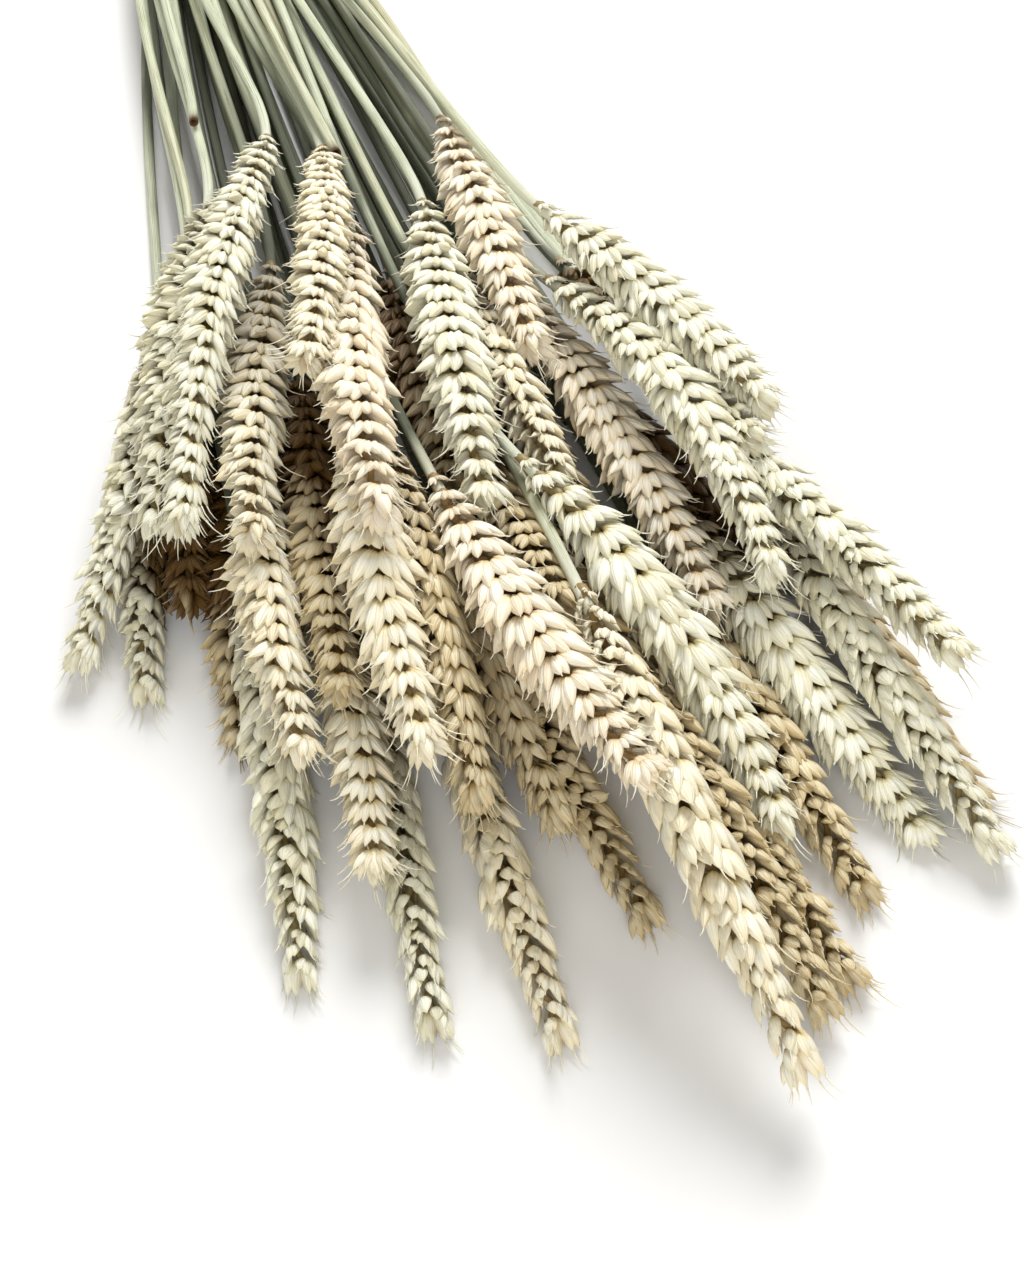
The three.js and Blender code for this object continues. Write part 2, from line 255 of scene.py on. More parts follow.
def shader(name):
    """A new node material, with short ways to place and join its nodes."""
    material = bpy.data.materials.new(name)
    material.use_nodes = True
    nodes = material.node_tree.nodes
    links = material.node_tree.links

    def put(kind, inputs=(), **settings):
        node = nodes.new("ShaderNode" + kind)
        for setting, value in settings.items():
            setattr(node, setting, value)
        for socket, value in dict(inputs).items():
            if isinstance(value, bpy.types.NodeSocket):
                links.new(value, node.inputs[socket])
            else:
                node.inputs[socket].default_value = value
        return node

    def math_of(operation, *values):
        return put("Math", enumerate(values), operation=operation).outputs[0]

    def mark(attribute):
        return put("Attribute", attribute_name=attribute).outputs["Fac"]

    def ramp(factor, *stops):
        node = put("ValToRGB", {0: factor})
        marks = node.color_ramp.elements
        while len(marks) < len(stops):
            marks.new(0.5)
        for stop, (place, colour) in zip(marks, stops):
            stop.position = place
            stop.color = (*colour, 1)
        return node.outputs[0]

    def mixed(share, one, other, kind="MIX"):
        node = put("Mix", data_type="RGBA", blend_type=kind)
        sockets = (node.inputs[0], node.inputs[6], node.inputs[7])    # the share and the two colours
        for socket, value in zip(sockets, (share, one, other)):
            if isinstance(value, bpy.types.NodeSocket):
                links.new(value, socket)
            else:
                socket.default_value = value if socket == node.inputs[0] else (*value, 1)
        return node.outputs[2]

    return material, nodes["Principled BSDF"], links, put, math_of, mark, ramp, mixed


def straw_material():
    """Dry straw: lengthwise streaks of grey-green, yellowed in places, with fine ribs."""
    material, surface, links, put, math_of, mark, ramp, mixed = shader("dried_straw")
    along = mark("along")
    around = mark("around")
    tint = mark("tint")
    joint = mark("joint")
    near_ear = mark("near_ear")
    turn = math_of("MULTIPLY", around, 2 * math.pi)
    streak_width, streak_length = 3.2, 0.035
    streak_place = put("CombineXYZ", {
        "X": math_of("MULTIPLY", math_of("COSINE", turn), streak_width),
        "Y": math_of("MULTIPLY", math_of("SINE", turn), streak_width),
        "Z": math_of("ADD", math_of("MULTIPLY", along, streak_length),
                     math_of("MULTIPLY", tint, 40))}).outputs[0]
    streaks = put("TexNoise", {"Vector": streak_place, "Scale": 1.3, "Detail": 5.0,
                               "Roughness": 0.62}).outputs[0]
    patch_length = 0.012
    broad_place = put("CombineXYZ", {
        "X": math_of("COSINE", turn), "Y": math_of("SINE", turn),
        "Z": math_of("ADD", math_of("MULTIPLY", along, patch_length),
                     math_of("MULTIPLY", tint, 90))}).outputs[0]
    broad = put("TexNoise", {"Vector": broad_place, "Scale": 0.9, "Detail": 2.0}).outputs[0]
    green = ramp(streaks, (0.30, SAGE_DARK), (0.47, SAGE), (0.60, SAGE_PALE), (0.74, STRAW_PALE))
    yellowed = ramp(streaks, (0.30, STRAW_BROWNED), (0.5, STRAW_YELLOW), (0.72, STRAW_PALE))
    yellows_above, yellows_fast = 0.72, 4.0
    age = math_of("ADD", broad, math_of("MULTIPLY", tint, 0.35))
    age = math_of("MULTIPLY", math_of("SUBTRACT", age, yellows_above), yellows_fast)
    age = put("Clamp", {"Value": age}).outputs[0]
    colour = mixed(age, green, yellowed)
    colour = mixed(math_of("MULTIPLY", near_ear, 0.75), colour, STRAW_PALE)
    # Painted shade: straw deep in the pile is darkened.
    colour = mixed(math_of("MULTIPLY", mark("sunk"), 0.8), colour, STRAW_PILE_SHADE)
    colour = mixed(joint, colour, JOINT_BROWN)
    links.new(colour, surface.inputs["Base Color"])
    gloss = math_of("ADD", math_of("MULTIPLY", streaks, 0.3), 0.34)
    links.new(gloss, surface.inputs["Roughness"])
    rib_count = 22.0
    ribs = math_of("SINE", math_of("MULTIPLY", turn, rib_count))
    height = math_of("ADD", math_of("MULTIPLY", ribs, 0.12), streaks)
    bump = put("Bump", {"Height": height, "Strength": 0.5, "Distance": 0.00035})
    links.new(bump.outputs[0], surface.inputs["Normal"])
    surface.inputs["Specular IOR Level"].default_value = 0.3
    return material


def stem_piece(name, line, widths, node, material, chance, bare):
    """One straw, hollow at its cut end, with its joint and the torn edge of its sheath.

    A bare one has lost its ear and is hollow and brown at that end too."""
    run, even = even_line(np.column_stack([line, widths]), STEM_STEP)
    line = even[:, :3]
    length = run[-1]
    joints = [chance.uniform(*JOINT_PLACES) * length] if chance.random() < JOINT_ODDS else []
    sheath_end = chance.uniform(*SHEATH_ENDS) * length
    torn = np.clip((sheath_end - run) / TORN_EDGE, 0, 1)
    radius = even[:, 3] + SHEATH_STEP * torn
    joint = np.zeros_like(run)
    for place in joints:
        near = np.clip(1 - np.abs(run - place) / JOINT_LENGTH, 0, 1)
        joint = np.maximum(joint, near)
        radius = radius + JOINT_SWELL * near**2
    if bare:
        joint = np.maximum(joint, np.clip(1 - (length - run) / BREAK_BROWNED, 0, 1))
    cut = np.clip(1 - run / CUT_BROWNED, 0, 1) * 0.8
    joint = np.clip(np.maximum(joint, cut) * 1.3, 0, 1)
    heading, up, side = carried_frames(line)
    angle = np.linspace(0, 2 * np.pi, STEM_SIDES, endpoint=False)
    wobble = 1 + OUT_OF_ROUND * np.sin(2 * angle + chance.uniform(0, 6))
    ring = np.cos(angle)[None, :, None] * up[:, None] + np.sin(angle)[None, :, None] * side[:, None]
    outer = line[:, None] + ring * (radius[:, None] * wobble)[:, :, None]
    hollow_at = line[0] + heading[0] * np.array([[HOLLOW_DEPTH], [HOLLOW_DEPTH * 0.5], [0.0]])
    hollow = hollow_at[:, None] + ring[0][None] * (radius[0] - STRAW_WALL)
    tip = line[-1] + heading[-1] * 0.3
    far = []
    if bare:
        far_at = line[-1] - heading[-1] * np.array([[0.0], [HOLLOW_DEPTH * 0.5], [HOLLOW_DEPTH]])
        far = far_at[:, None] + ring[-1][None] * (radius[-1] - STRAW_WALL)
        tip = far_at[-1]
    rings = np.concatenate([hollow, outer, far] if bare else [hollow, outer])[None]
    rings[..., 2] = np.maximum(rings[..., 2], ABOVE_TABLE)
    each = len(rings[0]) * STEM_SIDES
    around = np.abs(np.tile(angle / (2 * np.pi) * 2 - 1, len(rings[0])))

    def spread(values, first, last):
        return np.concatenate([[first], np.repeat(values, STEM_SIDES), [last]])[None]

    along = np.concatenate([[HOLLOW_DEPTH] * 3, run, [length] * len(far)])
    joint = np.concatenate([[1, 1, 0.9], joint, [1] * len(far)])
    if bare:
        pale_end = np.zeros(len(along))
    else:
        pale_end = np.clip(1 - (length - along) / PALE_NECK, 0, 1)
    sunk = sunk_in_pile(rings[0].reshape(-1, 3), *STEMS_SUNK)
    skins = Skins()
    skins.add(rings, hollow_at[:1], tip[None],
              along=spread(along, 0, length),
              around=np.concatenate([[0], around, [0]])[None],
              joint=spread(joint, 1, joint[-1]),
              near_ear=spread(pale_end, 0, pale_end[-1]),
              # painted shade from the pile map, full at the bottom of the hollow cut end
              sunk=np.concatenate([[1], sunk, [0]])[None],
              tint=np.full((1, each + 2), chance.random()))
    skins.piece(name, material, "wheat_straw", node)


straw = straw_material()
laid = {}
for node in sorted(frame["nodes"]):
    if node.startswith(("wheat_stalk_", "bare_stem_")):
        laid[node] = stalk_rings(node)
pile = pile_heights(laid.values())
stalks = {}
for node, (middles, half) in laid.items():
    number = int(node[-2:])
    bare = node.startswith("bare")
    neck = len(half) if bare else int(np.argmax(half > EAR_STARTS))
    chance = np.random.default_rng(100 + number)
    stem_piece(f"stem_{number:02d}", middles[:neck], half[:neck], node, straw, chance, bare)
    if not bare:
        stalks[number] = (node, middles, half, neck)

# ---------------------------------------------------------------------------------------------
# Ears of wheat. On a zigzag stalk the spikelets sit left and right by turns, each a fan of two
# glumes and seven husks round the grains, all papery boats with a keel. Short whiskers end the
# husks, longest at the ear's tip. They grew so: nothing is fixed by hand.
# ---------------------------------------------------------------------------------------------
SPIKELET_STEP = 2.75       # mm along the ear from one spikelet to the next, on the other side
EAR_STEP = 0.5             # mm between the places worked out along an ear
FULL_HALF_WIDTH = 5.6      # mm: the half width of an ear whose spikelets are full size
STUNTED_LENGTH = 7.0       # mm of thin stalk below the ear that bears only stunted spikelets
ROLL_WANDER = 11           # degrees a spikelet may be turned about the ear's line
SPIKELET_LEAN = (9, 14)    # degrees away from the ear's line at its foot
LEAN_LOST = 3              # degrees of that lost by the tip
HUSK_STOPS = np.array([0.05, 0.16, 0.33, 0.52, 0.72, 0.88, 0.97])
HUSK_WIDTHS = np.array([0.48, 0.80, 1.0, 0.98, 0.76, 0.42, 0.14])
HUSK_DEPTHS = np.array([0.50, 0.82, 1.0, 0.95, 0.70, 0.38, 0.12])
BACK_ACROSS = np.array([-1, -0.78, -0.42, 0, 0.42, 0.78, 1])
INNER_ACROSS = np.array([0.72, 0.36, 0, -0.36, -0.72])
TIP_FAN = (-1, 1, -0.4, 0.5)   # how far to its side each husk at the very tip leans
PRESSED_FROM = 1.4         # mm above the table, below which husks are pressed up by it
LEAST_HEIGHT = 0.25        # mm, how low the lowest of them come
WHISKER_SIDES = 3
WHISKER_STOPS = np.array([0.0, 0.35, 0.7, 0.93])
WHISKER_CURVE = 0.28       # how far a whisker bends outward, as a share of its length
WHISKER_THICKNESS = 0.2    # mm, half across
BONE_SIDES = 7             # of the zigzag stalk inside the ear
# The colour husks are darkened by, as painted shade, where they lie deep in the pile.
HUSK_PILE_SHADE = (0.165, 0.10, 0.035)
HUSKS_SUNK = (5.5, 13.0)   # mm, as for the stems

# Each husk of a spikelet: its side of the fan, how far up it, across it and out from the ear it
# springs in mm, its lean across the fan at its foot and at its tip and its lean away from the ear
# in degrees, how far its back faces away from the ear, its length, width and depth in mm, how
# plump its inner face is, and the share of such husks that end in a whisker.
SPIKELET = (
    (-1, 0.0, 1.1, -0.5, 62, 36, -15, 0.2, 8.4, 4.2, 1.5, -0.3, 0.5),
    (1, 0.0, 1.1, -0.5, 62, 36, -15, 0.2, 8.4, 4.2, 1.5, -0.3, 0.5),
    (-1, 0.5, 0.9, 0.3, 53, 36, -7, 0.7, 9.4, 3.4, 1.4, -0.7, 0.9),
    (1, 0.9, 0.9, 0.3, 53, 36, -7, 0.7, 9.4, 3.4, 1.4, -0.7, 0.9),
    (-1, 1.2, 0.7, 0.7, 40, 24, -3, 1.3, 10.2, 3.2, 1.4, -0.8, 0.7),
    (1, 1.6, 0.7, 0.7, 40, 24, -3, 1.3, 10.2, 3.2, 1.4, -0.8, 0.7),
    (-1, 1.8, 0.5, 1.0, 25, 11, 2, 2.2, 9.0, 3.0, 1.4, -0.8, 0.4),
    (1, 2.2, 0.5, 1.0, 25, 11, 2, 2.2, 9.0, 3.0, 1.4, -0.8, 0.4),
    (0, 2.6, 0.0, 1.2, 3, 0, 8, 4.0, 7.0, 2.8, 1.4, -0.8, 0.1),
)


def husk_rings(foot, start, finish, back, length, width, depth, plump):
    """Rings of boat-shaped husks, from their feet, their headings and where their backs face.

    Also the point that closes each, its tip, its heading there and its outward side."""
    s = HUSK_STOPS[None, :, None]
    bend = foot + start * length[:, None] * 0.48
    tip = bend + finish * length[:, None] * 0.52
    spine = (1 - s)**2 * foot[:, None] + 2 * s * (1 - s) * bend[:, None] + s**2 * tip[:, None]
    heading = unit((1 - s) * (bend - foot)[:, None] + s * (tip - bend)[:, None])
    side = unit(np.cross(heading, np.broadcast_to(back[:, None], heading.shape)))
    out = np.cross(side, heading)
    across = np.concatenate([BACK_ACROSS, INNER_ACROSS])
    keel = 0.14 * np.clip(1 - np.abs(BACK_ACROSS) * 2.2, 0, 1)
    back_height = (1 - BACK_ACROSS**2)**0.72 + keel - 0.12
    inner_height = -plump[:, None] * (1 - INNER_ACROSS**2)**0.8 - 0.12
    height = np.column_stack([np.tile(back_height, (len(foot), 1)), inner_height])
    half = width[:, None] * 0.5 * HUSK_WIDTHS
    deep = depth[:, None] * HUSK_DEPTHS
    rings = (spine[:, :, None]
             + side[:, :, None] * (half[:, :, None] * across)[..., None]
             + out[:, :, None] * (deep[:, :, None] * height[:, None])[..., None])
    return rings, tip + finish * 0.25, tip, finish, out[:, -1]


def whisker_rings(foot, heading, outward, length, thick):
    """Rings of thin tapering hairs that bend a little outward."""
    s = WHISKER_STOPS[None, :, None]
    reach = length[:, None, None]
    bend = outward[:, None] * s**2 * reach * WHISKER_CURVE
    spine = foot[:, None] + heading[:, None] * s * reach + bend
    side = unit(np.cross(heading, outward))
    up = np.cross(side, heading)
    angle = np.linspace(0, 2 * np.pi, WHISKER_SIDES, endpoint=False)
    ring = np.cos(angle)[None, :, None] * side[:, None] + np.sin(angle)[None, :, None] * up[:, None]
    taper = thick[:, None] * (1 - 0.75 * WHISKER_STOPS)
    rings = spine[:, :, None] + ring[:, None] * taper[..., None, None]
    tip = foot + heading * length[:, None] + outward * length[:, None] * WHISKER_CURVE
    return rings, foot - heading * 0.2, tip


def husk_material(name, crease_brown_and_shade, shade, body, pale):
    """Dry husk, finely veined, pale and satin on its back: its brown foot is part own colour and part
    painted crease shade, and painted shade also darkens its margins and what lies deep in the ear.
    """
    material, surface, links, put, math_of, mark, ramp, mixed = shader(name)
    along = mark("along")
    across = mark("across")
    tint = mark("tint")
    depth = mark("depth")
    place = put("TexCoord").outputs["Object"]
    mottle = put("TexNoise", {"Vector": place, "Scale": 420.0, "Detail": 4.0,
                              "Roughness": 0.6}).outputs[0]
    shifted = math_of("ADD", along, math_of("MULTIPLY", math_of("SUBTRACT", mottle, 0.5), 0.3))
    colour = ramp(shifted, (0.0, crease_brown_and_shade), (0.10, shade), (0.26, body), (0.52, pale), (0.96, body))
    colour = mixed(math_of("MULTIPLY", tint, 0.4), colour, shade)
    vein_count = 17.0
    veins = math_of("SINE", math_of("ADD", math_of("MULTIPLY", across, vein_count),
                                    math_of("MULTIPLY", mottle, 3.0)))
    veins = math_of("MULTIPLY", math_of("ADD", veins, 1.0), 0.5)
    colour = mixed(math_of("MULTIPLY", veins, 0.16), colour, shade)
    # Painted shade: the husk's margins, where it tucks under its neighbours, turn toward the shade
    # colour.
    edge = put("MapRange", {"Value": math_of("ABSOLUTE", across),
                            "From Min": 0.82, "From Max": 1.0}).outputs[0]
    colour = mixed(math_of("MULTIPLY", edge, 0.3), colour, shade)
    # Painted shade: parts deep in the ear and the husks' inner faces are darkened toward the crease
    # colour.
    painted_deep_shade = put("MapRange", {"Value": depth, "From Min": 0.28, "From Max": 0.9,
                              "To Min": 0.0, "To Max": 0.7}).outputs[0]
    colour = mixed(painted_deep_shade, colour, crease_brown_and_shade)
    # Painted shade: husks deep in the pile are darkened.
    colour = mixed(mark("sunk"), colour, HUSK_PILE_SHADE, "MULTIPLY")
    links.new(colour, surface.inputs["Base Color"])
    links.new(math_of("ADD", math_of("MULTIPLY", mottle, 0.35), 0.28), surface.inputs["Roughness"])
    fine = put("TexNoise", {"Vector": place, "Scale": 1800.0, "Detail": 2.0}).outputs[0]
    height = math_of("ADD", math_of("MULTIPLY", veins, 0.8), math_of("MULTIPLY", fine, 0.5))
    bump = put("Bump", {"Height": height, "Strength": 0.45, "Distance": 0.00025})
    links.new(bump.outputs[0], surface.inputs["Normal"])
    surface.inputs["Specular IOR Level"].default_value = 0.32
    return material


# Each cast of husk: in the crease, its own brown deepened by painted crease shade, in shade, on the
# body and at its palest.
HUSK_CASTS = {
    "cream": ((0.36, 0.21, 0.055), (0.69, 0.53, 0.25), (0.87, 0.82, 0.61), (0.93, 0.92, 0.82)),
    "rosy": ((0.36, 0.20, 0.060), (0.70, 0.51, 0.26), (0.87, 0.80, 0.61), (0.93, 0.91, 0.82)),
    "sage": ((0.31, 0.20, 0.055), (0.62, 0.53, 0.26), (0.83, 0.82, 0.65), (0.91, 0.92, 0.84)),
    # The tan cast, mostly on ears low in the pile, is darker than their own tone alone: part of it is
    # painted shade.
    "tan": ((0.11, 0.055, 0.012), (0.45, 0.31, 0.11), (0.67, 0.55, 0.32), (0.80, 0.73, 0.53)),
}
HUSKS = {cast: husk_material(f"husk_{cast}", *colours) for cast, colours in HUSK_CASTS.items()}

LAID_LAST = 40             # ears from this number on lay uppermost and take less painted shade
LEAST_SUNK = 0.35          # how much of the painted pile shade those ears take

# Each ear: the turn of its two rows about its own line in degrees, 0 with both rows in view from
# above and 90 with one row on top, how far that turn changes by the tip, its cast, and its
# fullness.
EARS = {
    1: (10, 10, "sage", 1.0), 2: (60, 20, "tan", 1.0), 3: (5, 0, "tan", 1.0),
    4: (10, 10, "tan", 1.0), 5: (40, 20, "tan", 1.0), 6: (0, 10, "tan", 1.0),
    9: (70, 20, "tan", 1.0), 10: (65, -60, "sage", 1.05), 11: (15, -10, "sage", 0.95),
    12: (10, 5, "cream", 1.05), 13: (50, -40, "tan", 1.0), 14: (60, 0, "tan", 1.0),
    15: (50, 20, "tan", 1.0), 18: (0, 30, "tan", 1.0), 19: (40, 0, "tan", 1.0),
    20: (70, 0, "cream", 1.0), 21: (30, 30, "tan", 1.0), 22: (60, 10, "tan", 1.0),
    23: (70, -50, "sage", 1.0), 24: (85, 0, "sage", 1.05), 25: (10, 0, "sage", 1.0),
    28: (80, 0, "tan", 1.0), 29: (40, 0, "tan", 1.0), 30: (60, 0, "cream", 1.0),
    31: (50, 0, "cream", 1.0), 32: (30, 0, "cream", 1.12), 33: (60, 0, "sage", 1.0),
    34: (70, 0, "sage", 1.0), 35: (30, 10, "sage", 1.0), 39: (80, 10, "tan", 1.0),
    40: (85, -20, "sage", 1.1), 41: (85, 0, "rosy", 1.05), 42: (80, 0, "cream", 1.0),
    43: (80, -20, "cream", 1.05), 44: (80, 0, "rosy", 1.05), 45: (80, -20, "sage", 1.0),
    47: (65, 0, "rosy", 1.18), 48: (85, -10, "sage", 1.12), 49: (85, 0, "rosy", 1.05),
    50: (75, 0, "sage", 1.05), 51: (80, -10, "cream", 0.85), 52: (76, -20, "sage", 0.88),
}


def ear_piece(number, node, middles, half, neck):
    """One ear, its spikelets set along the settled line of its stalk."""
    turn, twist, cast, full = EARS[number]
    shaded = 1.0 if number < LAID_LAST else LEAST_SUNK
    chance = np.random.default_rng(500 + number)
    run, even = even_line(np.column_stack([middles, half]), EAR_STEP)
    neck_run = np.linalg.norm(np.diff(middles[:neck], axis=0), axis=1).sum()
    first = int((neck_run - STUNTED_LENGTH) / EAR_STEP)
    run = run[first:] - run[first]
    line = even[first:, :3]
    thick = even[first:, 3]
    length = run[-1]
    heading, up, side = carried_frames(line)
    many = int(length / (SPIKELET_STEP * full))
    at = (np.arange(many) + 0.7) / many * (length - 3.0)
    spot = np.clip((at / EAR_STEP).astype(int), 0, len(run) - 1)
    share = at / length
    roll = np.radians(turn + twist * share + chance.uniform(-ROLL_WANDER, ROLL_WANDER, many))
    T = heading[spot]
    V = np.cos(roll)[:, None] * up[spot] + np.sin(roll)[:, None] * side[spot]
    U = np.cross(V, T)
    row = np.where(np.arange(many) % 2 == 0, 1.0, -1.0)[:, None]
    size = np.clip(thick[spot] / FULL_HALF_WIDTH, 0.35, 1.0) * full
    size = np.where(at < STUNTED_LENGTH, 0.24 + 0.3 * at / STUNTED_LENGTH, np.maximum(size, 0.6))
    size *= chance.uniform(0.9, 1.07, many)
    node_at = line[spot] + row * U * 1.0
    lean = np.radians(chance.uniform(*SPIKELET_LEAN, many) - LEAN_LOST * share)
    axis = unit(T * np.cos(lean)[:, None] + row * U * np.sin(lean)[:, None])
    out = unit(row * U - axis * np.sum(row * U * axis, axis=1, keepdims=True))

    feet = []
    starts = []
    finishes = []
    backs = []
    sizes = []
    whiskers = []
    for (fan, rise, offset, outset, foot_lean, tip_lean, opening, facing,
         long, wide, deep, inside, hair) in SPIKELET:
        wander = chance.normal(0, 1, (many, 5))
        a = np.radians(foot_lean + 6 * wander[:, 0])[:, None]
        b = np.radians(tip_lean + 8 * wander[:, 1])[:, None]
        c = np.radians(opening + 5 * wander[:, 2])[:, None]
        leaning = axis * np.cos(c) + out * np.sin(c)
        away = fan if fan else 1
        feet.append(node_at + size[:, None] * (axis * rise + fan * V * offset + out * (outset + 0.3)))
        starts.append(unit(leaning * np.cos(a) + away * V * np.sin(a)))
        finishes.append(unit(leaning * np.cos(b) + away * V * np.sin(b)
                             + out * 0.04 * wander[:, 3:4]))
        backs.append(unit(fan * V + out * facing))
        scale = size * (1 + 0.07 * wander[:, 4])
        sizes.append(np.column_stack([long * scale, wide * scale, deep * scale,
                                      np.full(many, -inside)]))
        whiskers.append(np.full(many, hair))
    tip_T = heading[-1]
    tip_U = U[-1]
    tip_V = np.cross(tip_U, tip_T)
    for fan in TIP_FAN:
        feet.append((line[-1] - tip_T * 4.5 + tip_U * fan * 0.6)[None])
        starts.append(unit(tip_T + tip_U * fan * 0.5)[None])
        finishes.append(unit(tip_T + tip_U * fan * 0.12)[None])
        backs.append(unit(tip_U * fan + tip_V * 0.4)[None])
        sizes.append(np.array([[7.0 * full, 2.9 * full, 1.3 * full, 0.7]]))
        whiskers.append(np.ones(1))
    foot = np.concatenate(feet)
    back = np.concatenate(backs)
    hairy = np.concatenate(whiskers)
    rings, end, tip, tip_heading, tip_out = husk_rings(
        foot, np.concatenate(starts), np.concatenate(finishes), back, *np.concatenate(sizes).T)
    total = len(foot)
    across = np.concatenate([BACK_ACROSS, INNER_ACROSS])
    inner = np.concatenate([np.zeros(len(BACK_ACROSS)), np.ones(len(INNER_ACROSS))])
    nearest = np.array([np.argmin(np.sum((line - c)**2, axis=1)) for c in foot])
    window = np.clip(nearest[:, None] + np.arange(0, 22, 3), 0, len(line) - 1)
    reach = np.linalg.norm(rings[:, :, :, None] - line[window][:, None, None], axis=-1).min(axis=-1)
    tip_husks = len(TIP_FAN)
    widest = np.concatenate([np.tile(size, len(SPIKELET)), np.full(tip_husks, 0.6)])
    widest = widest[:, None, None] * 4.6
    # Painted shade: how deep each corner lies in the ear, near its stalk, with inner faces at least a
    # third; the material darkens by it.
    depth = np.clip(1 - reach / widest, 0, 1) * 0.9
    depth = np.maximum(depth, inner * 0.35).reshape(total, -1)
    along = np.repeat(HUSK_STOPS, len(across))
    tint = np.repeat(chance.random(total)[:, None]**1.5, len(along) + 2, axis=1)
    corners = np.column_stack([foot[:, None], rings.reshape(total, -1, 3), end[:, None]])
    skins = Skins()
    skins.add(rings, foot, end,
              along=np.concatenate([[0], along, [1]])[None],
              across=np.concatenate([[0], np.tile(across, len(HUSK_STOPS)), [0]])[None],
              tint=tint,
              depth=np.column_stack([depth[:, 0], depth, depth[:, -1] * 0]),
              sunk=sunk_in_pile(corners, *HUSKS_SUNK) * shaded)

    grows = chance.random(total) < hairy
    height_share = np.concatenate([np.tile(share, len(SPIKELET)), np.ones(tip_husks)])
    near_tip = np.clip((height_share - 0.7) / 0.3, 0, 1)
    hair_length = 0.8 + 1.8 * chance.random(total)**2
    hair_length = hair_length + 2.6 * near_tip * (0.3 + chance.random(total))
    hair_length += np.where(chance.random(total) < 0.05, chance.uniform(2, 5, total), 0)
    rings, first_end, last_end = whisker_rings(
        tip[grows], tip_heading[grows], tip_out[grows], hair_length[grows],
        np.full(grows.sum(), WHISKER_THICKNESS))
    along = np.repeat([0.6, 0.65, 0.7, 0.75], WHISKER_SIDES)
    corners = np.column_stack([first_end[:, None], rings.reshape(len(rings), -1, 3),
                               last_end[:, None]])
    skins.add(rings, first_end, last_end,
              along=np.concatenate([[0.6], along, [0.8]])[None],
              across=0.0, tint=0.1, depth=0.0,
              sunk=sunk_in_pile(corners, *HUSKS_SUNK) * shaded)

    bones = np.concatenate([line[:1], node_at - row * U * 0.3, [line[-1] - heading[-1] * 2]])
    bone_run, spine = even_line(bones, 1.2)
    bone_heading, bone_up, bone_side = carried_frames(spine)
    angle = np.linspace(0, 2 * np.pi, BONE_SIDES, endpoint=False)
    ring = (np.cos(angle)[None, :, None] * bone_up[:, None]
            + np.sin(angle)[None, :, None] * bone_side[:, None])
    bone_thick = np.interp(bone_run / bone_run[-1], [0, 0.1, 1], [1.25, 1.15, 0.6])
    skins.add((spine[:, None] + ring * bone_thick[:, None, None])[None],
              spine[:1] - bone_heading[:1] * 0.3, spine[-1:] + bone_heading[-1:] * 0.5,
              # The zigzag stalk inside the ear gets a fixed share of painted shade, deep in the ear and
              # in the pile.
              along=0.12, across=0.0, tint=0.5, depth=0.6, sunk=0.5)

    for block in skins.corners:
        low = block[:, 2] < PRESSED_FROM
        pressed = PRESSED_FROM - LEAST_HEIGHT
        block[low, 2] = LEAST_HEIGHT + pressed * np.exp((block[low, 2] - PRESSED_FROM) / pressed)
    skins.piece(f"ear_{number:02d}", HUSKS[cast], "wheat_straw", node)


for number, (node, middles, half, neck) in stalks.items():
    ear_piece(number, node, middles, half, neck)

# ---------------------------------------------------------------------------------------------
# Raffia tie. Flat tan strands wound seven times round the stems and drawn tight, then crossed on
# top in a small flat knot whose ends are tucked back under the winding.
# ---------------------------------------------------------------------------------------------
RAFFIA_TURNS = 7
RAFFIA_WIDTH = 2.7         # mm
RAFFIA_THICKNESS = 0.42    # mm
STRAND_SIDES = 12
TURN_POINTS = 150
TURN_LENGTH = 1.04         # of the outline, so that a turn's ends lie over each other


def outer_loop(points):
    """The outline round flat points, in order."""
    ordered = sorted(map(tuple, points))
    sides = []
    for run in (ordered, ordered[::-1]):
        edge = []
        for q in run:
            while len(edge) > 1 and ((edge[-1][0] - edge[-2][0]) * (q[1] - edge[-2][1])
                                     - (edge[-1][1] - edge[-2][1]) * (q[0] - edge[-2][0])) <= 0:
                edge.pop()
            edge.append(q)
        sides += edge[:-1]
    return np.array(sides)


def raffia_strand(skins, path, faces_out, chance):
    """A flat strand along a path, one face turned outward, its edges a little curled."""
    heading = unit(np.gradient(path, axis=0))
    side = unit(np.cross(heading, faces_out))
    out = np.cross(side, heading)
    angle = np.linspace(0, 2 * np.pi, STRAND_SIDES, endpoint=False)
    twist = 0.15 * np.sin(np.linspace(0, 9, len(path)) + chance.uniform(0, 6))
    ripple = np.sin(np.linspace(0, 23, len(path)) + chance.uniform(0, 6))
    wide = RAFFIA_WIDTH / 2 * (1 + 0.12 * ripple)
    flat = np.cos(angle)[None, :] * wide[:, None]
    curl = (0.10 * np.cos(angle)**2 - 0.03 * np.cos(5 * angle))[None, :]
    twisted = twist[:, None] * np.cos(angle)[None, :]
    thick = np.sin(angle)[None, :] * RAFFIA_THICKNESS / 2 + curl + twisted
    rings = path[:, None] + side[:, None] * flat[..., None] + out[:, None] * thick[..., None]
    around = np.tile(np.cos(angle) * 0.5 + 0.5, len(path))
    run = np.concatenate([[0], np.cumsum(np.linalg.norm(np.diff(path, axis=0), axis=1))])
    run = np.repeat(run, STRAND_SIDES)
    skins.add(rings[None], path[:1] - heading[:1] * 0.2, path[-1:] + heading[-1:] * 0.2,
              along=np.concatenate([[0], run, [run[-1]]])[None],
              around=np.concatenate([[0.5], around, [0.5]])[None],
              tint=chance.random())


